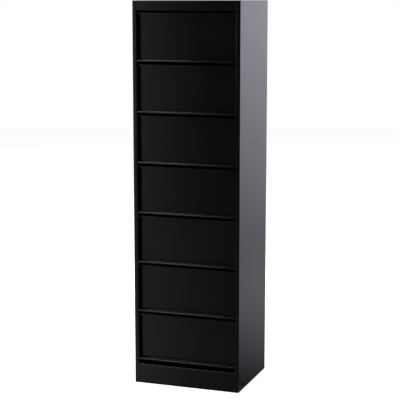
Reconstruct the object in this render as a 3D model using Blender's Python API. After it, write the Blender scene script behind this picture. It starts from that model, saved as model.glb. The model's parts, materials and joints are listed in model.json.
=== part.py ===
"""Tall narrow chest of drawers in folded sheet steel: a carcass with two posts, a header and a plinth, and equal
drawers whose recessed fronts carry a full-width pull lip. Metres. +Z is up, the fronts face -Y, and the origin is on
the floor at the centre of the footprint. Drawer 1 is the top one."""

from math import atan2, cos, pi, radians, sin, tan

import bmesh
import bpy
from mathutils import Vector

# Overall size
WIDTH = 0.400
DEPTH = 0.326
HEIGHT = 1.390
DRAWER_COUNT = 7

# Sheets, folds and fits
SHEET = 0.0010  # carcass and fronts
TRAY_SHEET = 0.0008
FOLD_RADIUS = 0.0018  # outside radius of a plain fold
FOLD_STEPS = 3
GAP = 0.0003  # between pieces that touch

# Carcass
POST_FACE = 0.0155
POST_RETURN = 0.032
REAR_FLANGE = 0.015
HEADER_HEIGHT = 0.035
HEADER_FLANGE = 0.025
PLINTH_HEIGHT = 0.072
PLINTH_FLANGE = 0.040
TOP_FLANGE = 0.012
TOP_FLANGE_REAR_INSET = 0.013
BASE_FLANGE = 0.020
FOOT_RAIL_HEIGHT = 0.045
FOOT_RAIL_FLANGE = 0.035
CROSS_RAIL_DEPTH = 0.0155
CROSS_RAIL_CLEARANCE = 0.0025  # behind the drawer panels
CROSS_RAIL_TOP = 0.0075  # below the line between two drawers, so that the front below hides it
CROSS_RAIL_HEIGHT = 0.008

# Blank badge plate set into the header
BADGE_WIDTH = 0.034
BADGE_HEIGHT = 0.006
BADGE_BORDER = 0.002
BADGE_BACKING = 0.0008

# Floor glides
STANDOFF = 0.0015  # the sheet edges clear the floor by this
GLIDE_RADIUS = 0.010
GLIDE_STEM_RADIUS = 0.0027
GLIDE_STEM_RISE = 0.004  # above the flange that holds it
GLIDE_INSET = 0.034  # from the outside of the carcass, sideways

# Drawer fronts, with heights measured from the bottom line of the drawer's own cell
FLOOR_CLEARANCE = 0.014  # between the plinth and the lowest cell
RECESS = 0.020  # panel behind the front plane
LIP_RISE = 0.00225
LIP_HEIGHT = 0.0055
LIP_NOSE_RADIUS = 0.0025
LIP_HEM = 0.012
LIP_SIDE_CLEARANCE = 0.001
PANEL_SIDE_GAP = 0.0035
STRIP_DROP = 0.00675  # top of the front below the top line of its cell
STRIP_HEIGHT = 0.0055
STRIP_REACH = 0.012  # forward of the panel

# Drawer trays, runners and stops
TRAVEL = 0.230
TRAY_RISE = 0.014
TRAY_DROP = 0.018
TRAY_INSET = 0.002  # narrower than the panel, each side
TRAY_RIM = 0.006
EAR_RISE = 0.040
EAR_HEIGHT = 0.020
EAR_THICKNESS = 0.002
EAR_SIDE_CLEARANCE = 0.007
BUFFER_LENGTH = 0.006
BUFFER_RADIUS = 0.007
RUNNER_GUIDE_CLEARANCE = 0.001
RUNNER_STEP = 0.0063
RUNNER_ARM_UNDER_TRAY = 0.011
RUNNER_WEB_BELOW = 0.009  # below the bottom line of the cell
RUNNER_REAR_GAP = 0.010

OVERLAP = 0.0005  # how far shapes that are united run into each other
ROUND_STEPS = 24

# Planes and lines that several pieces share
FRONT = -DEPTH / 2
REAR = DEPTH / 2
SIDE_INNER = WIDTH / 2 - SHEET
POST_INNER = WIDTH / 2 - POST_FACE
BETWEEN_POSTS = POST_INNER - GAP
BETWEEN_SIDES = SIDE_INNER - GAP
RETURN_REAR = FRONT + POST_RETURN
BEHIND_RETURNS = RETURN_REAR + GAP
SIDE_TOP = HEIGHT - SHEET - GAP
BACK_OUTER = REAR - SHEET - GAP
BACK_INNER = BACK_OUTER - SHEET
AGAINST_BACK = BACK_INNER - GAP
HEADER_BOTTOM = HEIGHT - HEADER_HEIGHT
CELLS_BOTTOM = PLINTH_HEIGHT + FLOOR_CLEARANCE
PITCH = (HEADER_BOTTOM - CELLS_BOTTOM) / DRAWER_COUNT
PANEL_FACE = FRONT + RECESS
LIP_TOP = LIP_RISE + LIP_HEIGHT
STRIP_TOP = PITCH - STRIP_DROP
STRIP_BOTTOM = STRIP_TOP - STRIP_HEIGHT
PANEL_HALF = POST_INNER - PANEL_SIDE_GAP
TRAY_HALF = PANEL_HALF - TRAY_INSET
TRAY_FRONT = PANEL_FACE + SHEET + GAP
TRAY_REAR = AGAINST_BACK - BUFFER_LENGTH - GAP
TRAY_TOP = PITCH - TRAY_DROP
GLIDE_X = WIDTH / 2 - GLIDE_INSET

BLACK_ENAMEL = ("black enamel", (0.012, 0.012, 0.013), 0.42, 0.0)
ZINC_STEEL = ("zinc-plated steel", (0.52, 0.53, 0.55), 0.38, 1.0)
RUBBER = ("rubber", (0.03, 0.03, 0.03), 0.85, 0.0)
NYLON = ("black nylon", (0.02, 0.02, 0.02), 0.55, 0.0)


def clear_scene():
    for obj in list(bpy.data.objects):
        bpy.data.objects.remove(obj, do_unlink=True)


def material_for(name, finish):
    label, colour, roughness, metallic = finish
    material = bpy.data.materials.new(f"{name} {label}")
    material.use_nodes = True
    shader = material.node_tree.nodes["Principled BSDF"]
    shader.inputs["Base Color"].default_value = (*colour, 1.0)
    shader.inputs["Roughness"].default_value = roughness
    shader.inputs["Metallic"].default_value = metallic
    return material


def place(name, mesh, finish, location=(0.0, 0.0, 0.0), parent=None):
    """A named object on the mesh, with its own material."""
    obj = bpy.data.objects.new(name, mesh)
    bpy.context.scene.collection.objects.link(obj)
    obj.location = location
    obj.parent = parent
    if not mesh.materials:
        mesh.materials.append(None)
    obj.material_slots[0].link = "OBJECT"
    obj.material_slots[0].material = material_for(name, finish)
    return obj


def finished_mesh(name, shape):
    bmesh.ops.recalc_face_normals(shape, faces=shape.faces)
    mesh = bpy.data.meshes.new(name)
    shape.to_mesh(mesh)
    shape.free()
    return mesh


def box(name, low, high):
    """A block from its lowest to its highest corner."""
    shape = bmesh.new()
    bmesh.ops.create_cube(shape, size=1.0)
    low, high = Vector(low), Vector(high)
    bmesh.ops.scale(shape, verts=shape.verts, vec=high - low)
    bmesh.ops.translate(shape, verts=shape.verts, vec=(low + high) / 2)
    return finished_mesh(name, shape)


def prism(name, outline, plane, low, high):
    """A closed outline in plane xy, yz or xz, extruded along the third axis from low to high."""
    to_space = {
        "xy": lambda u, v, w: Vector((u, v, w)),
        "yz": lambda u, v, w: Vector((w, u, v)),
        "xz": lambda u, v, w: Vector((u, w, v)),
    }[plane]
    shape = bmesh.new()
    face = shape.faces.new([shape.verts.new(to_space(u, v, low)) for u, v in outline])
    extruded = bmesh.ops.extrude_face_region(shape, geom=[face])
    moved = [item for item in extruded["geom"] if isinstance(item, bmesh.types.BMVert)]
    bmesh.ops.translate(shape, verts=moved, vec=to_space(0.0, 0.0, high - low))
    return finished_mesh(name, shape)


def turned(name, profile, steps=ROUND_STEPS):
    """A profile of (radius, height) points, spun about Z. It starts and ends on the axis."""
    shape = bmesh.new()
    points = [shape.verts.new((radius, 0.0, height)) for radius, height in profile]
    edges = [shape.edges.new(pair) for pair in zip(points, points[1:])]
    bmesh.ops.spin(shape, geom=points + edges, axis=(0, 0, 1), cent=(0, 0, 0), angle=2 * pi, steps=steps)
    bmesh.ops.remove_doubles(shape, verts=shape.verts, dist=1e-6)
    mesh = finished_mesh(name, shape)
    mesh.shade_smooth()
    mesh.set_sharp_from_angle(angle=radians(35))
    return mesh


def folded_sheet(corners, thickness):
    """The closed outline of a folded sheet. The corners (u, v, outside fold radius) lie on one face of it, and the
    sheet is on their left. Both faces of a fold share one centre, so the thickness stays the same round it."""
    near, far = [], []
    points = [Vector((u, v)) for u, v, _ in corners]
    for index, point in enumerate(points):
        into = (point - points[index - 1]).normalized() if index else None
        out = (points[index + 1] - point).normalized() if index + 1 < len(points) else None
        if into is None or out is None:
            along = out or into
            near.append(point)
            far.append(point + thickness * Vector((-along.y, along.x)))
            continue
        turn = atan2(into.x * out.y - into.y * out.x, into.dot(out))
        side = 1 if turn > 0 else -1
        outside = corners[index][2]
        near_radius = outside if side > 0 else outside - thickness
        far_radius = outside - thickness if side > 0 else outside
        inward = side * Vector((-into.y, into.x))
        centre = point - into * near_radius * tan(abs(turn) / 2) + inward * near_radius
        for step in range(FOLD_STEPS + 1):
            angle = turn * step / FOLD_STEPS
            spoke = -Vector((inward.x * cos(angle) - inward.y * sin(angle), inward.x * sin(angle) + inward.y * cos(angle)))
            near.append(centre + spoke * near_radius)
            far.append(centre + spoke * far_radius)
    return [tuple(point) for point in near + far[::-1]]


def mirrored(outline):
    return [(-u, v) for u, v in outline]


def combined(name, base, changes):
    """The base mesh after Boolean changes, each a (DIFFERENCE or UNION, mesh) pair."""
    target = bpy.data.objects.new(name, base)
    bpy.context.scene.collection.objects.link(target)
    helpers = []
    for operation, mesh in changes:
        helper = bpy.data.objects.new(mesh.name, mesh)
        bpy.context.scene.collection.objects.link(helper)
        helper.hide_render = True
        helper.display_type = "WIRE"
        modifier = target.modifiers.new(mesh.name, "BOOLEAN")
        modifier.operation = operation
        modifier.object = helper
        helpers.append(helper)
    graph = bpy.context.evaluated_depsgraph_get()
    mesh = bpy.data.meshes.new_from_object(target.evaluated_get(graph))
    mesh.name = name
    for helper in [target, *helpers]:
        bpy.data.objects.remove(helper, do_unlink=True)
    return mesh


def cell_bottom(number):
    """Height of the bottom line of drawer number's cell, counted from 1 at the top."""
    return HEADER_BOTTOM - number * PITCH


def channel(front, bottom, top, flange):
    """Outline in yz of a rail with its face at front and both flanges running back."""
    corners = [
        (front + flange, top, 0.0),
        (front, top, FOLD_RADIUS),
        (front, bottom, FOLD_RADIUS),
        (front + flange, bottom, 0.0),
    ]
    return folded_sheet(corners, SHEET)


def side_outline():
    """Plan of the right side panel: post return, post face, side and rear flange."""
    corners = [
        (POST_INNER, RETURN_REAR, 0.0),
        (POST_INNER, FRONT, FOLD_RADIUS),
        (WIDTH / 2, FRONT, FOLD_RADIUS),
        (WIDTH / 2, REAR, FOLD_RADIUS),
        (WIDTH / 2 - REAR_FLANGE, REAR, 0.0),
    ]
    return folded_sheet(corners, SHEET)


def make_sides():
    for name, outline in (
        ("right_side_panel", side_outline()),
        ("left_side_panel", mirrored(side_outline())),
    ):
        place(name, prism(name, outline, "xy", STANDOFF, SIDE_TOP), BLACK_ENAMEL)


def make_back():
    low = (-BETWEEN_SIDES, BACK_INNER, STANDOFF)
    high = (BETWEEN_SIDES, BACK_OUTER, SIDE_TOP)
    place("back_panel", box("back_panel", low, high), BLACK_ENAMEL)


def make_top():
    """A flat cap with a locating flange inside each side panel."""
    plate = box("top_plate", (-WIDTH / 2, FRONT, HEIGHT - SHEET), (WIDTH / 2, REAR, HEIGHT))
    rear = REAR - TOP_FLANGE_REAR_INSET
    low_z, high_z = HEIGHT - SHEET - TOP_FLANGE, HEIGHT - SHEET + OVERLAP
    flanges = [
        box("top_flange", (left, BEHIND_RETURNS, low_z), (left + SHEET, rear, high_z))
        for left in (-BETWEEN_SIDES, BETWEEN_SIDES - SHEET)
    ]
    changes = [("UNION", flange) for flange in flanges]
    place("top_panel", combined("top_panel", plate, changes), BLACK_ENAMEL)


def make_base():
    """A pan with its side flanges turned down. Its front edge lies under the plinth's top flange."""
    top = PLINTH_HEIGHT - SHEET - GAP
    corners = [
        (BETWEEN_SIDES, top - BASE_FLANGE, 0.0),
        (BETWEEN_SIDES, top, FOLD_RADIUS),
        (-BETWEEN_SIDES, top, FOLD_RADIUS),
        (-BETWEEN_SIDES, top - BASE_FLANGE, 0.0),
    ]
    mesh = prism("base_panel", folded_sheet(corners, SHEET), "xz", BEHIND_RETURNS, AGAINST_BACK)
    place("base_panel", mesh, BLACK_ENAMEL)


def make_header():
    """The header rail, with a window that the blank badge plate fills from behind, flush with its face."""
    outline = channel(FRONT, HEADER_BOTTOM, SIDE_TOP, HEADER_FLANGE)
    middle = (HEADER_BOTTOM + HEIGHT) / 2
    half_width, half_height = BADGE_WIDTH / 2, BADGE_HEIGHT / 2
    window = box(
        "badge_window",
        (-half_width - GAP, FRONT - SHEET, middle - half_height - GAP),
        (half_width + GAP, FRONT + 2 * SHEET, middle + half_height + GAP),
    )
    rail = prism("header_rail", outline, "yz", -BETWEEN_POSTS, BETWEEN_POSTS)
    place("header_rail", combined("header_rail", rail, [("DIFFERENCE", window)]), BLACK_ENAMEL)
    behind = FRONT + SHEET + GAP
    face = box(
        "badge_face",
        (-half_width, FRONT, middle - half_height),
        (half_width, behind + OVERLAP, middle + half_height),
    )
    backing = box(
        "badge_backing",
        (-half_width - BADGE_BORDER, behind, middle - half_height - BADGE_BORDER),
        (half_width + BADGE_BORDER, behind + BADGE_BACKING, middle + half_height + BADGE_BORDER),
    )
    place("badge_plate", combined("badge_plate", face, [("UNION", backing)]), BLACK_ENAMEL)


def glide_hole(x, y):
    radius = GLIDE_STEM_RADIUS + GAP
    hole = turned("glide_hole", [(0.0, 2 * STANDOFF + SHEET), (radius, 2 * STANDOFF + SHEET), (radius, 0.0), (0.0, 0.0)])
    for vertex in hole.vertices:
        vertex.co += Vector((x, y, 0.0))
    return hole


def make_plinth():
    outline = channel(FRONT, STANDOFF, PLINTH_HEIGHT, PLINTH_FLANGE)
    plinth = prism("plinth", outline, "yz", -BETWEEN_POSTS, BETWEEN_POSTS)
    glide_y = FRONT + PLINTH_FLANGE / 2
    holes = [("DIFFERENCE", glide_hole(x, glide_y)) for x in (-GLIDE_X, GLIDE_X)]
    place("plinth", combined("plinth", plinth, holes), BLACK_ENAMEL)
    make_glides("front", glide_y)


def make_rear_foot_rail():
    corners = [
        (AGAINST_BACK - FOOT_RAIL_FLANGE, STANDOFF, 0.0),
        (AGAINST_BACK, STANDOFF, FOLD_RADIUS),
        (AGAINST_BACK, FOOT_RAIL_HEIGHT, 0.0),
    ]
    rail = prism("rear_foot_rail", folded_sheet(corners, SHEET), "yz", -BETWEEN_SIDES, BETWEEN_SIDES)
    glide_y = AGAINST_BACK - FOOT_RAIL_FLANGE / 2
    holes = [("DIFFERENCE", glide_hole(x, glide_y)) for x in (-GLIDE_X, GLIDE_X)]
    place("rear_foot_rail", combined("rear_foot_rail", rail, holes), BLACK_ENAMEL)
    make_glides("rear", glide_y)


def make_glides(row, y):
    foot_top = STANDOFF - GAP
    stem_top = STANDOFF + SHEET + GLIDE_STEM_RISE
    profile = [
        (0.0, stem_top),
        (GLIDE_STEM_RADIUS, stem_top),
        (GLIDE_STEM_RADIUS, foot_top),
        (GLIDE_RADIUS, foot_top),
        (GLIDE_RADIUS, 0.0),
        (0.0, 0.0),
    ]
    mesh = turned("glide", profile)
    place(f"glide_{row}_left", mesh, NYLON, (-GLIDE_X, y, 0.0))
    place(f"glide_{row}_right", mesh, NYLON, (GLIDE_X, y, 0.0))


def make_cross_rails():
    """Rails whose ends lie between the post returns, behind the top edge of the front below."""
    face = PANEL_FACE + SHEET + CROSS_RAIL_CLEARANCE
    outline = channel(face, -CROSS_RAIL_TOP - CROSS_RAIL_HEIGHT, -CROSS_RAIL_TOP, CROSS_RAIL_DEPTH)
    mesh = prism("cross_rail", outline, "yz", -BETWEEN_POSTS, BETWEEN_POSTS)
    for number in range(1, DRAWER_COUNT):
        place(f"cross_rail_{number}", mesh, BLACK_ENAMEL, (0.0, 0.0, cell_bottom(number)))


def runner_outline():
    """Section in xz of a right-hand runner: web on the side panel, shelf, guide wall beside the tray, and the arm
    that the tray slides on."""
    arm_top = TRAY_RISE - GAP
    guide = TRAY_HALF + RUNNER_GUIDE_CLEARANCE
    corners = [
        (BETWEEN_SIDES, -RUNNER_WEB_BELOW, 0.0),
        (BETWEEN_SIDES, arm_top + RUNNER_STEP, FOLD_RADIUS),
        (guide, arm_top + RUNNER_STEP, FOLD_RADIUS),
        (guide, arm_top, FOLD_RADIUS),
        (TRAY_HALF - RUNNER_ARM_UNDER_TRAY, arm_top, 0.0),
    ]
    return folded_sheet(corners, SHEET)


def make_runners():
    rear = AGAINST_BACK - RUNNER_REAR_GAP
    right = prism("runner_right", runner_outline(), "xz", BEHIND_RETURNS, rear)
    left = prism("runner_left", mirrored(runner_outline()), "xz", BEHIND_RETURNS, rear)
    for number in range(1, DRAWER_COUNT + 1):
        location = (0.0, 0.0, cell_bottom(number))
        place(f"runner_right_{number}", right, ZINC_STEEL, location)
        place(f"runner_left_{number}", left, ZINC_STEEL, location)


def make_buffers():
    """A rubber stop for each drawer, on the back panel."""
    shoulder = BUFFER_LENGTH * 0.7
    profile = [(0.0, BUFFER_LENGTH), (BUFFER_RADIUS * 0.6, BUFFER_LENGTH), (BUFFER_RADIUS, shoulder), (BUFFER_RADIUS, 0.0), (0.0, 0.0)]
    mesh = turned("buffer", profile)
    for number in range(1, DRAWER_COUNT + 1):
        location = (0.0, AGAINST_BACK, cell_bottom(number) + PITCH / 2)
        buffer = place(f"buffer_{number}", mesh, RUBBER, location)
        buffer.rotation_euler = (pi / 2, 0.0, 0.0)


def front_mesh():
    """One folded sheet: strip at the top, recessed panel, shelf and rolled lip. The panel is notched narrower."""
    strip_face = PANEL_FACE - STRIP_REACH
    corners = [
        (strip_face + SHEET, STRIP_BOTTOM, 0.0),
        (strip_face + SHEET, STRIP_TOP - SHEET, FOLD_RADIUS),
        (PANEL_FACE, STRIP_TOP - SHEET, FOLD_RADIUS),
        (PANEL_FACE, LIP_TOP, FOLD_RADIUS),
        (FRONT, LIP_TOP, LIP_NOSE_RADIUS),
        (FRONT, LIP_RISE, LIP_NOSE_RADIUS),
        (FRONT + LIP_HEM, LIP_RISE, 0.0),
    ]
    half = POST_INNER - LIP_SIDE_CLEARANCE
    blank = prism("drawer_front", folded_sheet(corners, SHEET), "yz", -half, half)
    low_z, high_z = LIP_TOP + FOLD_RADIUS, STRIP_BOTTOM
    notches = [
        box("panel_notch", (min(edge, far), PANEL_FACE - SHEET, low_z), (max(edge, far), PANEL_FACE + 2 * SHEET, high_z))
        for edge, far in ((PANEL_HALF, WIDTH / 2), (-PANEL_HALF, -WIDTH / 2))
    ]
    return combined("drawer_front", blank, [("DIFFERENCE", notch) for notch in notches])


def tray_mesh():
    """An open box with a rim turned inwards, and an ear on each side that meets the post return at full travel."""
    outer = box("drawer_tray", (-TRAY_HALF, TRAY_FRONT, TRAY_RISE), (TRAY_HALF, TRAY_REAR, TRAY_TOP))
    inset = TRAY_SHEET
    cavity = box(
        "tray_cavity",
        (-TRAY_HALF + inset, TRAY_FRONT + inset, TRAY_RISE + inset),
        (TRAY_HALF - inset, TRAY_REAR - inset, TRAY_TOP - inset),
    )
    mouth_inset = TRAY_SHEET + TRAY_RIM
    mouth = box(
        "tray_mouth",
        (-TRAY_HALF + mouth_inset, TRAY_FRONT + mouth_inset, TRAY_TOP - 2 * inset),
        (TRAY_HALF - mouth_inset, TRAY_REAR - mouth_inset, TRAY_TOP + inset),
    )
    ear_front = RETURN_REAR + TRAVEL + GAP
    ear_low = TRAY_RISE + EAR_RISE
    ear_tip = SIDE_INNER - EAR_SIDE_CLEARANCE
    ears = [
        box("tray_ear", (min(root, tip), ear_front, ear_low), (max(root, tip), ear_front + EAR_THICKNESS, ear_low + EAR_HEIGHT))
        for root, tip in ((TRAY_HALF - OVERLAP, ear_tip), (OVERLAP - TRAY_HALF, -ear_tip))
    ]
    changes = [("DIFFERENCE", cavity), ("DIFFERENCE", mouth)] + [("UNION", ear) for ear in ears]
    return combined("drawer_tray", outer, changes)


def make_drawers():
    """Each drawer hangs on an empty at the front plane, on the line it slides along."""
    front, tray = front_mesh(), tray_mesh()
    for number in range(1, DRAWER_COUNT + 1):
        slide = bpy.data.objects.new(f"drawer_{number}_slide", None)
        bpy.context.scene.collection.objects.link(slide)
        slide.location = (0.0, 0.0, cell_bottom(number))
        place(f"drawer_front_{number}", front, BLACK_ENAMEL, parent=slide)
        place(f"drawer_tray_{number}", tray, BLACK_ENAMEL, parent=slide)


clear_scene()
make_sides()
make_back()
make_top()
make_base()
make_header()
make_plinth()
make_rear_foot_rail()
make_cross_rails()
make_runners()
make_buffers()
make_drawers()
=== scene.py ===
import json

import bmesh
import bpy
import numpy as np
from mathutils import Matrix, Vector


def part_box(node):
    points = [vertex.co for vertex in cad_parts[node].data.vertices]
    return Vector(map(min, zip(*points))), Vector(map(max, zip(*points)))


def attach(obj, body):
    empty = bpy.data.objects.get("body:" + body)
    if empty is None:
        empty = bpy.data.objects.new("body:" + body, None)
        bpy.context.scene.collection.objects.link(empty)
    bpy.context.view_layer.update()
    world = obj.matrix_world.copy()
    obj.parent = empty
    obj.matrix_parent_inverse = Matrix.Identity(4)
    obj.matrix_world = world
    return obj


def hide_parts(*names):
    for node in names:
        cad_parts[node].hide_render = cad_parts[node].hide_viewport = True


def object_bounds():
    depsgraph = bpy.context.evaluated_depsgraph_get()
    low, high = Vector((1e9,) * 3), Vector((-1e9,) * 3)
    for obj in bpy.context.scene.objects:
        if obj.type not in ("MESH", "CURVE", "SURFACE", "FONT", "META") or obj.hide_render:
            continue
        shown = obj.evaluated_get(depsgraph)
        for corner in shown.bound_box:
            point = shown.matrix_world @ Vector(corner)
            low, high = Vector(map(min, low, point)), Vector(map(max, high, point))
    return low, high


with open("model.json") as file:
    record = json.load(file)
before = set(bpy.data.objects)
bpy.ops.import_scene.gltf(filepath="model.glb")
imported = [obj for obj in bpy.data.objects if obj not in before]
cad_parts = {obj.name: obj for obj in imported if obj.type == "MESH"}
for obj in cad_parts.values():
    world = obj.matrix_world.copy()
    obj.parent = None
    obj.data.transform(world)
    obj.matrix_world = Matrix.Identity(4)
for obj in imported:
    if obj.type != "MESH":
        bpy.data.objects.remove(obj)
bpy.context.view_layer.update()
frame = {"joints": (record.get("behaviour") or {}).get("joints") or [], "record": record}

bodies = frame["record"]["behaviour"]["bodies"]
bodyOf = {node: body for body, nodes in bodies.items() for node in nodes}
travel = frame["joints"][0]["range_m"][1]  # how far every drawer runs out
drawers = range(1, len(frame["joints"]) + 1)

sheet = {
    "thickness": 0.0010,
    "foldRadius": 0.0018,  # outside radius of a plain fold
    "arcSteps": 8,  # facets round each fold
    "ease": 0.00028,  # the coat rounds a cut edge by this much
    "easeSteps": 2,
    "easeAngle": 0.9,  # radians; softer corners than this are folds already
    "spacing": 0.045,  # longest cell on a flat run
    "flatWeight": 80,  # how far large faces lead the shading
}
gap = 0.0003  # between pieces that touch


def foldSection(corners, thickness, arcSteps=sheet["arcSteps"]):
    # A line of corners (u, v, outside radius). Each corner turns on an arc:
    # centre = corner - incoming * r * tan(turn / 2) + inward * r
    # point(t) = centre - r * (inward turned by t * turn)
    # The sheet lies on the line's left. Its second face has the same centres, with r changed by the thickness,
    # so the wall stays even round the fold.
    corners = np.array(corners, float)
    points, outside = corners[:, :2], corners[1:-1, 2:]
    along = np.diff(points, axis=0)
    along /= np.linalg.norm(along, axis=1, keepdims=True)
    left = np.stack([-along[:, 1], along[:, 0]], 1)
    into, out = along[:-1], along[1:]
    turn = np.arctan2((left[:-1] * out).sum(1), (into * out).sum(1))[:, None]
    inward = np.sign(turn) * left[:-1]
    nearRadius = np.where(turn > 0, outside, outside - thickness)
    farRadius = np.where(turn > 0, outside - thickness, outside)
    centre = points[1:-1] - into * nearRadius * np.tan(abs(turn) / 2) + inward * nearRadius
    angle = turn * np.linspace(0, 1, arcSteps + 1)
    across = np.stack([-inward[:, 1], inward[:, 0]], 1)
    spoke = -(inward[:, None] * np.cos(angle)[..., None] + across[:, None] * np.sin(angle)[..., None])
    faces = []
    for radius, shift in ((nearRadius, 0.0), (farRadius, thickness)):
        arcs = (centre[:, None] + spoke * radius[..., None]).reshape(-1, 2)
        faces.append(np.vstack([points[:1] + shift * left[:1], arcs, points[-1:] + shift * left[-1:]]))
    return faces


def splitSection(section, axis, values):
    # Adds a station to both faces wherever the first one crosses a value on the axis.
    near, far = section
    for value in values:
        start, end = near[:-1, axis], near[1:, axis]
        at = np.nonzero((start - value) * (end - value) < -1e-12)[0]
        share = ((value - start[at]) / (end[at] - start[at]))[:, None]
        between = [line[at] + share * (line[at + 1] - line[at]) for line in (near, far)]
        near, far = (np.insert(line, at + 1, new, axis=0) for line, new in zip((near, far), between))
    return near, far


def stations(low, high, *lines):
    # Evenly spaced places from low to high, with the given lines among them.
    marks = np.unique(np.round([low, high, *lines], 7))
    counts = np.maximum(1, np.ceil(np.diff(marks) / sheet["spacing"]).astype(int))
    runs = [np.linspace(*ends, count + 1)[:-1] for *ends, count in zip(marks, marks[1:], counts)]
    return np.concatenate([*runs, marks[-1:]])


def sheetGrid(section, path, axes, cutOut=None):
    # point(side, i, j) = section[side][i] on the first two axes and path[j] on the third. Cells whose middles
    # cutOut names are left out. Every open side of a cell that stays is closed by a wall from face to face.
    section = np.array(section)
    rows, columns = section.shape[1], len(path)
    points = np.zeros((2, rows, columns, 3))
    points[..., axes[0]] = section[:, :, None, 0]
    points[..., axes[1]] = section[:, :, None, 1]
    points[..., axes[2]] = path
    cells = np.ones((rows - 1, columns - 1), bool)
    if cutOut:
        middle = (section[0, 1:] + section[0, :-1]) / 2
        cells &= ~cutOut(middle[:, :1], middle[:, 1:], (path[1:] + path[:-1])[None] / 2)
    index = np.arange(2 * rows * columns).reshape(2, rows, columns)
    a, b, c, d = index[:, :-1, :-1], index[:, 1:, :-1], index[:, 1:, 1:], index[:, :-1, 1:]
    quads = [np.stack([a[0], b[0], c[0], d[0]], -1)[cells], np.stack([d[1], c[1], b[1], a[1]], -1)[cells]]
    around = np.pad(cells, 1)
    for beside, p, q in (
        (around[:-2, 1:-1], a, d),
        (around[2:, 1:-1], c, b),
        (around[1:-1, :-2], b, a),
        (around[1:-1, 2:], d, c),
    ):
        quads.append(np.stack([p[0], q[0], q[1], p[1]], -1)[cells & ~beside])
    used, faces = np.unique(np.concatenate(quads), return_inverse=True)
    return points.reshape(-1, 3)[used], faces.reshape(-1, 4).tolist()


def ringGrid(rings):
    # Rings of points, each closed on itself and joined to the next. The first and last ring shrink to a pole.
    rows, columns = rings.shape[:2]
    poles = rings[[0, -1]].mean(1)
    points = np.vstack([poles[:1], rings[1:-1].reshape(-1, 3), poles[1:]])
    index = 1 + np.arange((rows - 2) * columns).reshape(rows - 2, columns)
    onward = np.roll(index, -1, axis=1)
    quads = np.stack([index[:-1], onward[:-1], onward[1:], index[1:]], -1).reshape(-1, 4)
    first = np.stack([np.zeros(columns, int), onward[0], index[0]], -1)
    last = np.stack([np.full(columns, len(points) - 1), index[-1], onward[-1]], -1)
    return points, quads.tolist() + first.tolist() + last.tolist()


def turnedRings(profile, centre, axis, steps=48):
    # point(i, t) = centre + height[i] * axis + radius[i] * (one side * cos t + other side * sin t).
    angle = np.linspace(0, 2 * np.pi, steps, endpoint=False)
    axis = np.array(axis, float)
    one = np.array((axis[1], axis[2], axis[0]))
    other = np.cross(axis, one)
    spokes = one * np.cos(angle)[:, None] + other * np.sin(angle)[:, None]
    return np.array(centre) + profile[:, 1, None, None] * axis + profile[:, 0, None, None] * spokes


def plate(outline, low, high, axes):
    # A closed outline on the first two axes, as a plate from low to high on the third.
    outline = np.array(outline)
    count = len(outline)
    points = np.zeros((2, count, 3))
    points[..., axes[0]] = outline[:, 0]
    points[..., axes[1]] = outline[:, 1]
    points[0, :, axes[2]] = low
    points[1, :, axes[2]] = high
    index = np.arange(count)
    onward = np.roll(index, -1)
    walls = np.stack([index, onward, onward + count, index + count], -1)
    return points.reshape(-1, 3), [index[::-1].tolist(), (index + count).tolist(), *walls.tolist()]


def roundedRectangle(low, high, radius, steps=6):
    # point(k, t) = centre of corner k + radius * (cos t, sin t), a quarter turn at each of the four corners.
    # Arrays of corners and radii give that many outlines.
    low, high = np.array(low, float)[..., None, :], np.array(high, float)[..., None, :]
    quarter = np.linspace(0, np.pi / 2, steps + 1)
    angle = quarter + np.arange(4)[:, None] * np.pi / 2
    signs = np.array([(1, 1), (-1, 1), (-1, -1), (1, -1)])
    centre = (low + high) / 2 + signs * ((high - low) / 2 - radius)
    arcs = np.array(radius)[..., None] * np.stack([np.cos(angle), np.sin(angle)], -1)
    points = centre[..., None, :] + arcs
    return points.reshape(*points.shape[:-3], -1, 2)


def joined(*parts):
    # Several closed shells as one mesh.
    faces, start = [], 0
    for points, some in parts:
        faces += [(np.array(face) + start).tolist() for face in some]
        start += len(points)
    return np.vstack([points for points, _ in parts]), faces


def makePiece(name, node, geometry, material, ease=sheet["ease"], fields=None):
    points, faces = geometry
    mesh = bpy.data.meshes.new(name)
    mesh.from_pydata(points, [], faces)
    shape = bmesh.new()
    shape.from_mesh(mesh)
    bmesh.ops.recalc_face_normals(shape, faces=shape.faces)
    shape.to_mesh(mesh)
    shape.free()
    for label, values in (fields or {}).items():
        mesh.attributes.new(label, "FLOAT", "POINT").data.foreach_set("value", np.float32(values))
    mesh.shade_smooth()
    mesh.materials.append(material)
    piece = bpy.data.objects.new(name, mesh)
    bpy.context.scene.collection.objects.link(piece)
    if ease:
        bevel = piece.modifiers.new("easedEdges", "BEVEL")
        bevel.width, bevel.segments = ease, sheet["easeSteps"]
        bevel.limit_method, bevel.angle_limit = "ANGLE", sheet["easeAngle"]
        bevel.miter_outer = "MITER_ARC"
    normals = piece.modifiers.new("flatRunsStayFlat", "WEIGHTED_NORMAL")
    normals.keep_sharp, normals.weight = True, sheet["flatWeight"]
    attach(piece, bodyOf[node])
    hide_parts(node)


def linear(hexColour):
    # sRGB hex to linear: c / 12.92 below 0.04045, ((c + 0.055) / 1.055) ** 2.4 above.
    channels = np.array([int(hexColour[i : i + 2], 16) for i in (1, 3, 5)]) / 255
    return (*np.where(channels <= 0.04045, channels / 12.92, ((channels + 0.055) / 1.055) ** 2.4), 1.0)


def add(tree, kind, settings=None, links=None):
    # A node with its settings, and each input set to a value or joined to another node's output.
    node = tree.nodes.new(kind)
    for name, value in (settings or {}).items():
        setattr(node, name, value)
    for name, value in (links or {}).items():
        if isinstance(value, bpy.types.NodeSocket):
            tree.links.new(value, node.inputs[name])
        else:
            node.inputs[name].default_value = value
    return node


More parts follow.
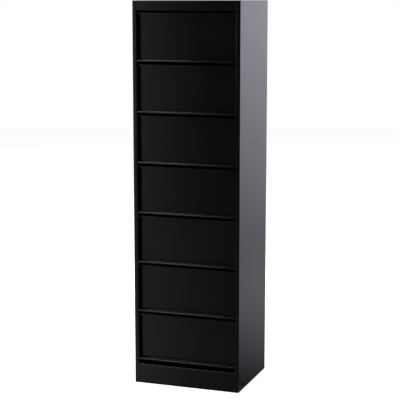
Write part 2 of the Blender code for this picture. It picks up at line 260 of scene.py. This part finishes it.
def startMaterial(name, **shaderValues):
    material = bpy.data.materials.new(name)
    material.use_nodes = True
    tree = material.node_tree
    shader = tree.nodes["Principled BSDF"]
    for label, value in shaderValues.items():
        shader.inputs[label].default_value = value
    return material, tree, shader


enamelLook = {
    "coat": "#070708",
    "ior": 1.5,
    "dusty": "#3c3c40",
    "dust": 0.05,  # how thick it lies where it has settled
    "dustLies": (0.75, 0.98),  # from none to all, by how far a face looks up
    "dustPatches": (0.42, 0.72),
    "dustDulls": 0.9,
    "roughness": (0.19, 0.22),
    "roughPatches": (0.3, 0.7),
    "polish": 0.05,  # hands take this much off the roughness
    "polishPatches": (0.35, 0.65),
    "waves": {  # metres across one lump, and detail
        "cloud": (0.11, 3.0),
        "smear": (0.028, 4.0),
        "sag": (0.120, 0.0),
        "peel": (0.0035, 1.0),  # really about 2 mm, drawn coarser so that it shows
        "grit": (0.0009, 0.0),
    },
    "heights": {"sag": 0.00003, "peel": 0.00001, "grit": 0.0000015},
}


def makeEnamel():
    # Powder coat, satin black, sprayed dry and baked on sheet steel: an even dark skin with a soft sheen, faint
    # orange peel, panels that are never quite flat, a little dust on top, and a polish where fingers pull.
    look = enamelLook
    material, tree, shader = startMaterial("satinBlackPowderCoat", IOR=look["ior"], Metallic=0.0)
    where = add(tree, "ShaderNodeTexCoord").outputs["Object"]
    waves = {}
    for name, (length, detail) in look["waves"].items():
        links = {"Vector": where, "Scale": 1 / length, "Detail": detail}
        waves[name] = add(tree, "ShaderNodeTexNoise", links=links).outputs["Fac"]
    normal = add(tree, "ShaderNodeNewGeometry").outputs["Normal"]
    upward = add(tree, "ShaderNodeSeparateXYZ", links={"Vector": normal}).outputs["Z"]
    soft = {"interpolation_type": "SMOOTHSTEP"}
    low, high = look["dustLies"]
    links = {"Value": upward, "From Min": low, "From Max": high}
    flat = add(tree, "ShaderNodeMapRange", soft, links).outputs["Result"]
    low, high = look["dustPatches"]
    links = {"Value": waves["smear"], "From Min": low, "From Max": high, "To Max": look["dust"]}
    settled = add(tree, "ShaderNodeMapRange", soft, links).outputs["Result"]
    dust = add(tree, "ShaderNodeMath", {"operation": "MULTIPLY"}, {0: flat, 1: settled}).outputs["Value"]
    links = {"Factor": dust, "A": linear(look["coat"]), "B": linear(look["dusty"])}
    tint = add(tree, "ShaderNodeMix", {"data_type": "RGBA"}, links).outputs["Result"]
    tree.links.new(tint, shader.inputs["Base Color"])
    (low, high), (smooth, rough) = look["roughPatches"], look["roughness"]
    links = {"Value": waves["cloud"], "From Min": low, "From Max": high, "To Min": smooth, "To Max": rough}
    sheen = add(tree, "ShaderNodeMapRange", soft, links).outputs["Result"]
    links = {0: dust, 1: look["dustDulls"], 2: sheen}
    sheen = add(tree, "ShaderNodeMath", {"operation": "MULTIPLY_ADD"}, links).outputs["Value"]
    handled = add(tree, "ShaderNodeAttribute", {"attribute_name": "handled"}).outputs["Fac"]
    low, high = look["polishPatches"]
    links = {"Value": waves["smear"], "From Min": low, "From Max": high, "To Max": -look["polish"]}
    polish = add(tree, "ShaderNodeMapRange", soft, links).outputs["Result"]
    sheen = add(tree, "ShaderNodeMath", {"operation": "MULTIPLY_ADD"}, {0: handled, 1: polish, 2: sheen})
    tree.links.new(sheen.outputs["Value"], shader.inputs["Roughness"])
    bump = None
    for name, height in look["heights"].items():
        links = {"Strength": 1.0, "Distance": height, "Height": waves[name]}
        if bump:
            links["Normal"] = bump
        bump = add(tree, "ShaderNodeBump", links=links).outputs["Normal"]
    tree.links.new(bump, shader.inputs["Normal"])
    return material


zincLook = {
    "cloud": (0.012, 0.55),  # metres across one lump, and how rough its edge is
    "scratch": (0.0009, 0.7),
    "detail": 3.0,
    "stretch": (1.0, 0.02, 1.0),  # draws the scratches out along the slide
    "cold": "#a9b0b8",
    "straw": "#bdb9ae",
    "tintPatches": (0.35, 0.65),
    "roughness": (0.30, 0.40),
    "scratchDulls": 0.10,
    "scratchDepth": 0.000008,
    "bump": 0.6,
}


def makeZinc():
    # Zinc-plated steel, barrel plated and clear passivated: a bright grey metal with cloudy patches, a slight
    # blue and straw tint, and fine scratches drawn along the way the tray slides.
    look = zincLook
    material, tree, shader = startMaterial("zincPlatedSteel", Metallic=1.0)
    where = add(tree, "ShaderNodeTexCoord").outputs["Object"]
    length, edge = look["cloud"]
    links = {"Vector": where, "Scale": 1 / length, "Detail": look["detail"], "Roughness": edge}
    cloud = add(tree, "ShaderNodeTexNoise", links=links).outputs["Fac"]
    drawn = add(tree, "ShaderNodeMapping", links={"Vector": where, "Scale": look["stretch"]}).outputs["Vector"]
    length, edge = look["scratch"]
    links = {"Vector": drawn, "Scale": 1 / length, "Detail": look["detail"], "Roughness": edge}
    scratches = add(tree, "ShaderNodeTexNoise", links=links).outputs["Fac"]
    low, high = look["tintPatches"]
    patch = add(tree, "ShaderNodeMapRange", links={"Value": cloud, "From Min": low, "From Max": high})
    links = {"Factor": patch.outputs["Result"], "A": linear(look["cold"]), "B": linear(look["straw"])}
    tint = add(tree, "ShaderNodeMix", {"data_type": "RGBA"}, links).outputs["Result"]
    tree.links.new(tint, shader.inputs["Base Color"])
    low, high = look["roughness"]
    dull = add(tree, "ShaderNodeMapRange", links={"Value": cloud, "To Min": low, "To Max": high})
    links = {0: scratches, 1: look["scratchDulls"], 2: dull.outputs["Result"]}
    rough = add(tree, "ShaderNodeMath", {"operation": "MULTIPLY_ADD"}, links)
    tree.links.new(rough.outputs["Value"], shader.inputs["Roughness"])
    links = {"Strength": look["bump"], "Distance": look["scratchDepth"], "Height": scratches}
    bump = add(tree, "ShaderNodeBump", links=links)
    tree.links.new(bump.outputs["Normal"], shader.inputs["Normal"])
    return material


# grain is the mould's, in metres across and high; patches are dull and shine
rubberLook = {"colour": "#171718", "roughness": (0.70, 0.86), "grain": 0.0007, "height": 0.00003, "ior": 1.52}
nylonLook = {"colour": "#1b1b1d", "roughness": (0.40, 0.56), "grain": 0.0005, "height": 0.00001, "ior": 1.53}
moulded = {"worn": "#2b2b2c", "patch": 0.006, "bump": 0.7}


def makeMoulded(name, look):
    # A moulded part: one colour through and through, a fine cast grain from the mould, and dull patches.
    material, tree, shader = startMaterial(name, IOR=look["ior"])
    where = add(tree, "ShaderNodeTexCoord").outputs["Object"]
    patches, fine = (
        add(tree, "ShaderNodeTexNoise", links={"Vector": where, "Scale": 1 / length}).outputs["Fac"]
        for length in (moulded["patch"], look["grain"])
    )
    links = {"Factor": patches, "A": linear(look["colour"]), "B": linear(moulded["worn"])}
    tint = add(tree, "ShaderNodeMix", {"data_type": "RGBA"}, links).outputs["Result"]
    tree.links.new(tint, shader.inputs["Base Color"])
    low, high = look["roughness"]
    dull = add(tree, "ShaderNodeMapRange", links={"Value": patches, "To Min": low, "To Max": high})
    tree.links.new(dull.outputs["Result"], shader.inputs["Roughness"])
    links = {"Strength": moulded["bump"], "Distance": look["height"], "Height": fine}
    bump = add(tree, "ShaderNodeBump", links=links)
    tree.links.new(bump.outputs["Normal"], shader.inputs["Normal"])
    return material


enamel = makeEnamel()
zinc = makeZinc()
rubber = makeMoulded("mouldedRubber", rubberLook)
nylon = makeMoulded("mouldedNylon", nylonLook)
print("materials made")


sides = {"postFace": 0.0155, "postReturn": 0.032, "rearFlange": 0.015}  # their widths
rightLow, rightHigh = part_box("right_side_panel")
frontPlane, rearPlane = rightLow.y, rightHigh.y
returnRear = frontPlane + sides["postReturn"]


def makeSides():
    fold, inner = sheet["foldRadius"], rightHigh.x - sides["postFace"]
    corners = [
        (inner, returnRear, 0),
        (inner, frontPlane, fold),
        (rightHigh.x, frontPlane, fold),
        (rightHigh.x, rearPlane, fold),
        (rightHigh.x - sides["rearFlange"], rearPlane, 0),
    ]
    section = foldSection(corners, sheet["thickness"])
    section = splitSection(section, 1, stations(returnRear, rearPlane)[1:-1])
    points, faces = sheetGrid(section, stations(rightLow.z, rightHigh.z), (0, 1, 2))
    makePiece("rightSide", "right_side_panel", (points, faces), enamel)
    makePiece("leftSide", "left_side_panel", (points * (-1, 1, 1), faces), enamel)


def makeChannel(name, node, windows=(), heights=(), depths=()):
    # A rail with its face to the front and both flanges turned back, cut out where a window's test says so.
    # A window is (x low, x high, test on y and z).
    low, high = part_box(node)
    fold = sheet["foldRadius"]
    corners = [(high.y, high.z, 0), (low.y, high.z, fold), (low.y, low.z, fold), (high.y, low.z, 0)]
    section = splitSection(foldSection(corners, sheet["thickness"]), 1, heights)
    section = splitSection(section, 0, depths)
    lines = [edge for left, right, _ in windows for edge in (left, right)]

    def inWindow(y, z, x):
        found = np.zeros(np.broadcast_shapes(y.shape, x.shape), bool)
        for left, right, test in windows:
            found |= (x > left) & (x < right) & test(y, z)
        return found

    geometry = sheetGrid(section, stations(low.x, high.x, *lines), (1, 2, 0), inWindow)
    makePiece(name, node, geometry, enamel)


blank = {"border": 0.002, "corner": 0.0004, "borderCorner": 0.0010, "overlap": 0.0003, "ease": 0.00015}


def makeHeader():
    # The rail has a window for the blank plate, which is flush with its face and held by a border behind it.
    low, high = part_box("badge_plate")
    left, right = low.x + blank["border"], high.x - blank["border"]
    bottom, top = low.z + blank["border"], high.z - blank["border"]

    def onFace(y, z):
        return (y < frontPlane + sheet["thickness"] / 2) & (z > bottom - gap) & (z < top + gap)

    makeChannel("headerRail", "header_rail", [(left - gap, right + gap, onFace)], (bottom - gap, top + gap))
    behind = frontPlane + sheet["thickness"] + gap
    shown = roundedRectangle((left, bottom), (right, top), blank["corner"])
    held = roundedRectangle((low.x, low.z), (high.x, high.z), blank["borderCorner"])
    badge = joined(
        plate(shown, low.y, behind + blank["overlap"], (0, 2, 1)),
        plate(held, behind, high.y, (0, 2, 1)),
    )
    makePiece("blankPlate", "badge_plate", badge, enamel, blank["ease"])


def glidePlaces(row):
    places = []
    for hand in ("left", "right"):
        low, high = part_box(f"glide_{row}_{hand}")
        places.append(((low.x + high.x) / 2, (low.y + high.y) / 2))
    return places


glides = {
    "stemHole": 0.0030,  # half the width of the hole
    "stem": 0.0027,  # radius
    "footTop": 0.0012,  # above the floor
    "round": 0.0005,
    "neck": 0.0002,  # the fillet where the stem meets the foot
    "arcSteps": 4,
}


def makePlinth():
    half = glides["stemHole"]
    places = glidePlaces("front")
    y0 = places[0][1]
    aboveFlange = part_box("plinth")[0].z + 2 * sheet["thickness"]

    def onBottom(y, z):
        return (z < aboveFlange) & (abs(y - y0) < half)

    windows = [(x - half, x + half, onBottom) for x, _ in places]
    makeChannel("plinth", "plinth", windows, depths=(y0 - half, y0 + half))


def makeFootRail():
    low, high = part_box("rear_foot_rail")
    half = glides["stemHole"]
    places = glidePlaces("rear")
    y0 = places[0][1]
    corners = [(low.y, low.z, 0), (high.y, low.z, sheet["foldRadius"]), (high.y, high.z, 0)]
    section = foldSection(corners, sheet["thickness"])
    section = splitSection(section, 0, (y0 - half, y0 + half))

    def hole(y, z, x):
        nearStem = (abs(x - places[0][0]) < half) | (abs(x - places[1][0]) < half)
        return nearStem & (z < low.z + 2 * sheet["thickness"]) & (abs(y - y0) < half)

    lines = [x + side for x, _ in places for side in (-half, half)]
    geometry = sheetGrid(section, stations(low.x, high.x, *lines), (1, 2, 0), hole)
    makePiece("rearFootRail", "rear_foot_rail", geometry, enamel)


lidFlange = {"rearInset": 0.013, "corner": 0.0006, "overlap": 0.0004, "ease": 0.0003}


def makeTop():
    # A flat lid whose corners follow the folds below it, with a locating flange inside each side.
    low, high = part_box("top_panel")
    under = high.z - sheet["thickness"]
    lid = roundedRectangle((low.x, low.y), (high.x, high.y), sheet["foldRadius"])
    parts = [plate(lid, under, high.z, (0, 1, 2))]
    y0, y1 = returnRear + gap, rearPlane - lidFlange["rearInset"]
    outline = roundedRectangle((y0, low.z), (y1, under + lidFlange["overlap"]), lidFlange["corner"])
    outside = high.x - sheet["thickness"] - gap
    for side in (-1, 1):
        edges = sorted((side * outside, side * (outside - sheet["thickness"])))
        parts.append(plate(outline, *edges, (1, 2, 0)))
    makePiece("topLid", "top_panel", joined(*parts), enamel, lidFlange["ease"])


def makeBase():
    low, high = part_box("base_panel")
    fold = sheet["foldRadius"]
    corners = [(high.x, low.z, 0), (high.x, high.z, fold), (low.x, high.z, fold), (low.x, low.z, 0)]
    section = foldSection(corners, sheet["thickness"])
    section = splitSection(section, 0, stations(low.x, high.x)[1:-1])
    geometry = sheetGrid(section, stations(low.y, high.y), (0, 2, 1))
    makePiece("basePan", "base_panel", geometry, enamel)


def makeBack():
    low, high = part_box("back_panel")
    across = stations(low.x, high.x)
    face = np.stack([across, np.full(len(across), low.y)], 1)
    geometry = sheetGrid((face, face + (0, high.y - low.y)), stations(low.z, high.z), (0, 1, 2))
    makePiece("backPanel", "back_panel", geometry, enamel)


def makeGlides():
    # Each glide is turned: a rounded foot on the floor and a stem pushed through the flange above it.
    for row in ("front", "rear"):
        for hand in ("left", "right"):
            node = f"glide_{row}_{hand}"
            low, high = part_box(node)
            radius, stem, fillet = (high.x - low.x) / 2, glides["stem"], glides["round"]
            corners = [
                (0, high.z, 0),
                (stem, high.z, fillet),
                (stem, glides["footTop"], glides["neck"]),
                (radius, glides["footTop"], fillet),
                (radius, low.z, fillet),
                (0, low.z, 0),
            ]
            profile = foldSection(corners, 0.0, glides["arcSteps"])[0]
            centre = ((low.x + high.x) / 2, (low.y + high.y) / 2, 0)
            rings = turnedRings(profile, centre, (0, 0, 1))
            name = "glide" + row.capitalize() + hand.capitalize()
            makePiece(name, node, ringGrid(rings), nylon, 0)


makeSides()
makeHeader()
makePlinth()
makeFootRail()
makeTop()
makeBase()
makeBack()
makeGlides()
for number in drawers[:-1]:
    makeChannel(f"crossRail{number}", f"cross_rail_{number}")
print("carcass made")


runner = {"step": 0.0063, "guideFromTip": 0.012}
buffer = {
    "tip": 0.6,  # share of the radius
    "shoulder": 0.7,  # share of the length
    "round": 0.0008,
    "backRound": 0.0003,
    "arcSteps": 5,
}


def makeRunners(number):
    # Web on the side, shelf, guide wall beside the tray, and the arm that the tray slides on.
    fold = sheet["foldRadius"]
    low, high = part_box(f"runner_right_{number}")
    arm = high.z - runner["step"]
    corners = [
        (high.x, low.z, 0),
        (high.x, high.z, fold),
        (low.x + runner["guideFromTip"], high.z, fold),
        (low.x + runner["guideFromTip"], arm, fold),
        (low.x, arm, 0),
    ]
    section = foldSection(corners, sheet["thickness"])
    points, faces = sheetGrid(section, stations(low.y, high.y), (0, 2, 1))
    for hand, side in (("Right", 1), ("Left", -1)):
        node = f"runner_{hand.lower()}_{number}"
        makePiece(f"runner{hand}{number}", node, (points * (side, 1, 1), faces), zinc)


def makeBuffer(number):
    low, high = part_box(f"buffer_{number}")
    radius, length = (high.x - low.x) / 2, high.y - low.y
    corners = [
        (0, length, 0),
        (radius * buffer["tip"], length, buffer["round"]),
        (radius, length * buffer["shoulder"], buffer["round"]),
        (radius, 0, buffer["backRound"]),
        (0, 0, 0),
    ]
    profile = foldSection(corners, 0.0, buffer["arcSteps"])[0]
    centre = ((low.x + high.x) / 2, high.y, (low.z + high.z) / 2)
    rings = turnedRings(profile, centre, (0, -1, 0))
    makePiece(f"buffer{number}", f"buffer_{number}", ringGrid(rings), rubber, 0)


fronts = {
    "lipHeight": 0.0055,
    "noseRadius": 0.0025,
    "hem": 0.012,
    "stripHeight": 0.0055,
    "stripReach": 0.012,  # the strip stands this far before the panel
    "sideInset": 0.0025,  # the panel is this much narrower than the lip, each side
    "notchMargin": 0.0002,
    "panelStart": 0.0001,  # a station this far above the notch's bottom
    "polishWidth": 0.11,  # half width of the stretch that hands polish
    "polishReach": 0.004,  # and how far it goes round the nose
    "polishAbove": 0.001,
}


def makeFront(number):
    # One folded sheet: strip, recessed panel, shelf and rolled lip with its hem turned back.
    node = f"drawer_front_{number}"
    low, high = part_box(node)
    thick, fold, nose = sheet["thickness"], sheet["foldRadius"], fronts["noseRadius"]
    face, lipTop = high.y - thick, low.z + fronts["lipHeight"]
    strip, stripLow = face - fronts["stripReach"], high.z - fronts["stripHeight"]
    corners = [
        (strip + thick, stripLow, 0),
        (strip + thick, high.z - thick, fold),
        (face, high.z - thick, fold),
        (face, lipTop, fold),
        (low.y, lipTop, nose),
        (low.y, low.z, nose),
        (low.y + fronts["hem"], low.z, 0),
    ]
    notchLow, notchHigh = lipTop + fold, stripLow
    lines = (notchLow + fronts["panelStart"], *stations(notchLow, notchHigh)[1:-1], notchHigh)
    section = splitSection(foldSection(corners, thick), 1, lines)
    inner = high.x - fronts["sideInset"]

    def notch(y, z, x):
        return (abs(x) > inner) & (y > face - fronts["notchMargin"]) & (z > notchLow) & (z < notchHigh)

    geometry = sheetGrid(section, stations(low.x, high.x, -inner, inner), (1, 2, 0), notch)
    x, y, z = geometry[0].T
    onLip = np.exp(-(((y - low.y) / fronts["polishReach"]) ** 2)) * (z < lipTop + fronts["polishAbove"])
    handled = onLip * np.exp(-((x / fronts["polishWidth"]) ** 2))  # 1 in the middle of the lip
    makePiece(f"drawerFront{number}", node, geometry, enamel, fields={"handled": handled})


trays = {
    "sheet": 0.0008,
    "fold": 0.0014,
    "foldSteps": 5,
    "cornerRadius": 0.0030,
    "leastRadius": 0.0003,
    "cornerSteps": 5,
    "rim": 0.0068,
    "floorInset": 0.02,  # where the wall section ends on the floor
    "floorRings": (0, 0.35, 0.7),  # from the middle of the floor to that end
    "earReach": 0.013,
    "earThickness": 0.002,
    "earRise": 0.040,
    "earHeight": 0.020,
    "earCorner": 0.0015,
    "ease": 0.0002,
}


def makeTray(number):
    # A wall section (inset, z) carried round a rounded rectangle, whose corner radius shrinks by the inset,
    # with a floor that closes to a pole on both faces. An ear on each side meets the post's return at the end.
    node = f"drawer_tray_{number}"
    low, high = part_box(node)
    half, thick, fold = high.x - trays["earReach"], trays["sheet"], trays["fold"]
    corners = [
        (trays["rim"], high.z, 0),
        (0, high.z, fold),
        (0, low.z, fold),
        (trays["floorInset"], low.z, 0),
    ]
    section = foldSection(corners, thick, trays["foldSteps"])
    outer, inner = splitSection(section, 1, stations(low.z, high.z)[1:-1])
    line = np.vstack([outer[::-1], inner])
    inset, heights = line[:, :1], line[:, 1]
    radius = np.maximum(trays["cornerRadius"] - inset, trays["leastRadius"])[..., None]
    flat = roundedRectangle((-half, low.y) + inset, (half, high.y) - inset, radius, trays["cornerSteps"])
    loops = np.concatenate([flat, np.broadcast_to(heights[:, None, None], (*flat.shape[:2], 1))], -1)
    shrink = np.array(trays["floorRings"])[:, None, None]
    under, over = (
        end.mean(1, keepdims=True) * (1 - shrink) + end * shrink for end in (loops[:1], loops[-1:])
    )
    parts = [ringGrid(np.concatenate([under, loops, over[::-1]]))]
    earFront = returnRear + travel + gap
    earLow = low.z + trays["earRise"]
    earHigh = earLow + trays["earHeight"]
    for side in (-1, 1):
        edges = sorted((side * (half - thick / 2), side * high.x))
        outline = roundedRectangle((edges[0], earLow), (edges[1], earHigh), trays["earCorner"])
        parts.append(plate(outline, earFront, earFront + trays["earThickness"], (0, 2, 1)))
    makePiece(f"drawerTray{number}", node, joined(*parts), enamel, trays["ease"])


for number in drawers:
    makeRunners(number)
    makeBuffer(number)
    makeFront(number)
    makeTray(number)
print("runners, buffers and drawers made")


studio = {"radius": 9.0, "white": "#ffffff", "black": "#000000", "lampTint": "#f3f0ff", "ambient": 0.004}


def discGeometry(rings, centre, steps=64):
    # point(i, t) = centre + (radius[i] * cos t, radius[i] * sin t, height[i]), the first ring shrunk to a pole.
    around = np.linspace(0, 2 * np.pi, steps, endpoint=False)
    radius, height = rings[:, :1], rings[:, 1:]
    turned = np.stack([radius * np.cos(around), radius * np.sin(around), height + 0 * around], -1)
    points = np.vstack([turned[:1, 0], turned[1:].reshape(-1, 3)]) + np.array(centre)
    index = 1 + np.arange((len(rings) - 1) * steps).reshape(len(rings) - 1, steps)
    onward = np.roll(index, -1, axis=1)
    quads = np.stack([index[:-1], index[1:], onward[1:], onward[:-1]], -1).reshape(-1, 4)
    first = np.stack([np.zeros(steps, int), index[0], onward[0]], -1)
    return points, quads.tolist() + first.tolist()


def stagePiece(name, geometry, material, **seen):
    mesh = bpy.data.meshes.new(name)
    mesh.from_pydata(geometry[0], [], geometry[1])
    mesh.materials.append(material)
    piece = bpy.data.objects.new(name, mesh)
    bpy.context.scene.collection.objects.link(piece)
    for rays, value in seen.items():
        setattr(piece, rays, value)


def litMaterial(name, colour):
    material, tree, shader = startMaterial(name, **{"Roughness": 1.0, "Specular IOR Level": 0.0})
    shader.inputs["Base Color"].default_value = linear(studio["black"])
    shader.inputs["Emission Color"].default_value = linear(colour)
    return material, tree, shader


floorPaper = {
    "shade": "#f4f4f4",
    "roughness": 0.95,
    "fibre": (0.004, 3.0),  # metres across one lump, and detail; real fibres are finer, too fine to show
    "glow": 0.93,
    "fade": (-0.004, 0.001),  # from no glow to all of it, in metres outside of the footprint; the dark footprint is a painted shadow
    "rings": 12,
}


def makeFloor():
    # Matt paper sweep, lit evenly from below so that it stays white; the glow stops at the object's footprint,
    # which paints a shadow under the object: distance = max(|x| - half width, |y| - half depth).
    look = floorPaper
    material, tree, shader = startMaterial("mattWhitePaper", Roughness=look["roughness"])
    where = add(tree, "ShaderNodeTexCoord").outputs["Object"]
    length, detail = look["fibre"]
    links = {"Vector": where, "Scale": 1 / length, "Detail": detail}
    fibre = add(tree, "ShaderNodeTexNoise", links=links).outputs["Fac"]
    links = {"Factor": fibre, "A": linear(look["shade"]), "B": linear(studio["white"])}
    tint = add(tree, "ShaderNodeMix", {"data_type": "RGBA"}, links).outputs["Result"]
    tree.links.new(tint, shader.inputs["Base Color"])
    shader.inputs["Emission Color"].default_value = linear(studio["white"])
    # The glow is cut off under the footprint and ramps in at its edge: a painted shadow beneath the object.
    reach = [float(side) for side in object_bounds()[1][:2]]
    out = add(tree, "ShaderNodeVectorMath", {"operation": "ABSOLUTE"}, {0: where}).outputs["Vector"]
    links = {0: out, 1: (*reach, 0.0)}
    out = add(tree, "ShaderNodeVectorMath", {"operation": "SUBTRACT"}, links).outputs["Vector"]
    out = add(tree, "ShaderNodeSeparateXYZ", links={"Vector": out}).outputs
    out = add(tree, "ShaderNodeMath", {"operation": "MAXIMUM"}, {0: out["X"], 1: out["Y"]}).outputs["Value"]
    low, high = look["fade"]
    links = {"Value": out, "From Min": low, "From Max": high, "To Max": look["glow"]}
    glow = add(tree, "ShaderNodeMapRange", {"interpolation_type": "SMOOTHSTEP"}, links).outputs["Result"]
    tree.links.new(glow, shader.inputs["Emission Strength"])
    rings = np.linspace((0.0, 0.0), (studio["radius"], 0.0), look["rings"])
    stagePiece("studioFloor", discGeometry(rings, (0, 0, 0)), material, visible_glossy=False)


dome = {"fall": 1.62, "rings": 24}  # radians from the crown down to just under the floor


def makeDome():
    # A white dome that only the lens sees, so that nothing but the lamps is mirrored.
    material, _, shader = litMaterial("backdropWhite", studio["white"])
    shader.inputs["Emission Strength"].default_value = 1.0
    fall = np.linspace(0, dome["fall"], dome["rings"])
    rings = np.stack([np.sin(fall), np.cos(fall)], 1) * studio["radius"]
    unseen = {"visible_glossy": False, "visible_diffuse": False, "visible_shadow": False}
    stagePiece("studioDome", discGeometry(rings, (0, 0, 0)), material, **unseen)


floorPool = {
    "centre": (-0.8, -1.7, 0.006),
    "radius": 1.9,
    "rings": 8,
    "mirroredCamera": (1.506, 3.936, 0.0),  # the main camera's place, mirrored in the drawer panels
    "fan": (0.3265, 0.4125),
    "growth": 1.8,
    "glow": (0.06, 0.33),
    "foot": 0.05,  # added where the pool is nearest to the fronts
    "footReach": (4.3, 5.6),  # metres before the mirrored camera
}


def makeFloorPool():
    # A lit patch on the floor that only mirrors show, for the light that the fronts pick up from below. It is fixed
    # in the room, but its pattern is fitted to the main view: slope = (x0 - x) / (y0 - y) from the mirrored camera,
    # share = (the slope's place in the fan) ** growth, so that the fronts grow lighter to the left.
    look = floorPool
    material, tree, shader = litMaterial("floorPool", studio["lampTint"])
    where = add(tree, "ShaderNodeTexCoord").outputs["Object"]
    links = {0: look["mirroredCamera"], 1: where}
    apart = add(tree, "ShaderNodeVectorMath", {"operation": "SUBTRACT"}, links).outputs["Vector"]
    apart = add(tree, "ShaderNodeSeparateXYZ", links={"Vector": apart}).outputs
    links = {0: apart["X"], 1: apart["Y"]}
    slope = add(tree, "ShaderNodeMath", {"operation": "DIVIDE"}, links).outputs["Value"]
    low, high = look["fan"]
    links = {"Value": slope, "From Min": low, "From Max": high}
    share = add(tree, "ShaderNodeMapRange", links=links).outputs["Result"]
    links = {0: share, 1: look["growth"]}
    share = add(tree, "ShaderNodeMath", {"operation": "POWER"}, links).outputs["Value"]
    low, high = look["glow"]
    links = {0: share, 1: high - low, 2: low}
    glow = add(tree, "ShaderNodeMath", {"operation": "MULTIPLY_ADD"}, links).outputs["Value"]
    low, high = look["footReach"]
    links = {"Value": apart["Y"], "From Min": low, "From Max": high, "To Min": look["foot"], "To Max": 0.0}
    foot = add(tree, "ShaderNodeMapRange", links=links).outputs["Result"]
    glow = add(tree, "ShaderNodeMath", {"operation": "ADD"}, {0: glow, 1: foot}).outputs["Value"]
    tree.links.new(glow, shader.inputs["Emission Strength"])
    rings = np.linspace((0.0, 0.0), (look["radius"], 0.0), look["rings"])
    unseen = {"visible_camera": False, "visible_diffuse": False, "visible_shadow": False}
    stagePiece("floorPool", discGeometry(rings, look["centre"]), material, **unseen)


lamps = {  # name: (place, aimed at, width, height, watts)
    "frontLeftSoftbox": ((-2.355, -3.0, 1.45), (0.0, 0.0, 1.45), 2.0, 2.9, 11.0),
    "overheadSoftbox": ((-1.95, -0.2, 3.4), (-1.95, -0.2, 0.0), 2.0, 2.6, 155.0),
    "leftStrip": ((-3.0, 0.1, 1.75), (0.0, 0.0, 1.5), 3.0, 1.7, 45.0),
    "frontFill": ((0.1, -4.6, 0.7), (0.1, 0.0, 0.7), 1.1, 3.4, 2.4),
    "rightFill": ((4.6, 0.0, 0.7), (0.0, 0.0, 0.7), 1.1, 3.4, 2.4),
    "rearRightFill": ((2.6, 2.2, 0.9), (0.0, 0.0, 0.7), 1.0, 3.0, 2.4),
}


def aim(thing, place, target):
    thing.location = place
    thing.rotation_euler = (Vector(target) - Vector(place)).to_track_quat("-Z", "Y").to_euler()


def makeLamps():
    for name, (place, target, width, height, watts) in lamps.items():
        lamp = bpy.data.lights.new(name, "AREA")
        lamp.shape, lamp.size, lamp.size_y, lamp.energy = "RECTANGLE", width, height, watts
        lamp.color = linear(studio["lampTint"])[:3]
        holder = bpy.data.objects.new(name, lamp)
        bpy.context.scene.collection.objects.link(holder)
        aim(holder, place, target)
        holder.visible_camera = False
    world = bpy.data.worlds.new("studioDark")
    world.use_nodes = True
    background = world.node_tree.nodes["Background"]
    background.inputs["Color"].default_value = linear(studio["white"])
    background.inputs["Strength"].default_value = studio["ambient"]
    bpy.context.scene.world = world


rearScreen = {
    "x": 1.15,
    "y": 2.6,
    "width": 2.6,
    "bottom": -1.5,
    "top": 3.4,
    "tint": "#f4f1ff",
    "fades": ((-0.95, -0.35, 0.50), (0.0, 1.3, 0.94)),  # low, high, and the strength added between them
}


def makeRearScreen():
    # A tall lit screen behind and to the right, bright above and dim below: the side mirrors its long fade.
    look = rearScreen
    material, tree, shader = litMaterial("litScreen", look["tint"])
    where = add(tree, "ShaderNodeTexCoord").outputs["Object"]
    height = add(tree, "ShaderNodeSeparateXYZ", links={"Vector": where}).outputs["Z"]
    total = 0.0
    for low, high, strength in look["fades"]:
        links = {"Value": height, "From Min": low, "From Max": high, "To Max": strength}
        fade = add(tree, "ShaderNodeMapRange", links=links).outputs["Result"]
        total = add(tree, "ShaderNodeMath", {"operation": "ADD"}, {0: fade, 1: total}).outputs["Value"]
    tree.links.new(total, shader.inputs["Emission Strength"])
    left, right = look["x"] - look["width"] / 2, look["x"] + look["width"] / 2
    y, bottom, top = look["y"], look["bottom"], look["top"]
    points = [(left, y, bottom), (right, y, bottom), (right, y, top), (left, y, top)]
    unseen = {"visible_camera": False, "visible_shadow": False}
    stagePiece("rearScreen", (points, [(0, 1, 2, 3)]), material, **unseen)


camera = {
    "place": (1.5064, -4.2220, 1.3950),
    "yaw": 19.695,  # degrees to the left of straight ahead
    "pitch": 9.24,  # degrees down
    "lens": 111.32,  # mm
    "farthest": 60,
}


def makeCamera():
    # From the right at the height of the top, turned down to hold the whole height. The lens isn't shifted,
    # so the other views hold the whole object too.
    yaw, pitch = np.radians(camera["yaw"]), np.radians(camera["pitch"])
    ahead = Vector((-np.sin(yaw) * np.cos(pitch), np.cos(yaw) * np.cos(pitch), -np.sin(pitch)))
    view = bpy.data.cameras.new("camera")
    view.lens, view.clip_end = camera["lens"], camera["farthest"]
    eye = bpy.data.objects.new("camera", view)
    bpy.context.scene.collection.objects.link(eye)
    aim(eye, camera["place"], Vector(camera["place"]) + ahead)
    bpy.context.scene.camera = eye
    bpy.context.scene.view_settings.view_transform = "Standard"


makeFloor()
makeDome()
makeFloorPool()
makeLamps()
makeRearScreen()
makeCamera()
print("stage, lamps and camera made")
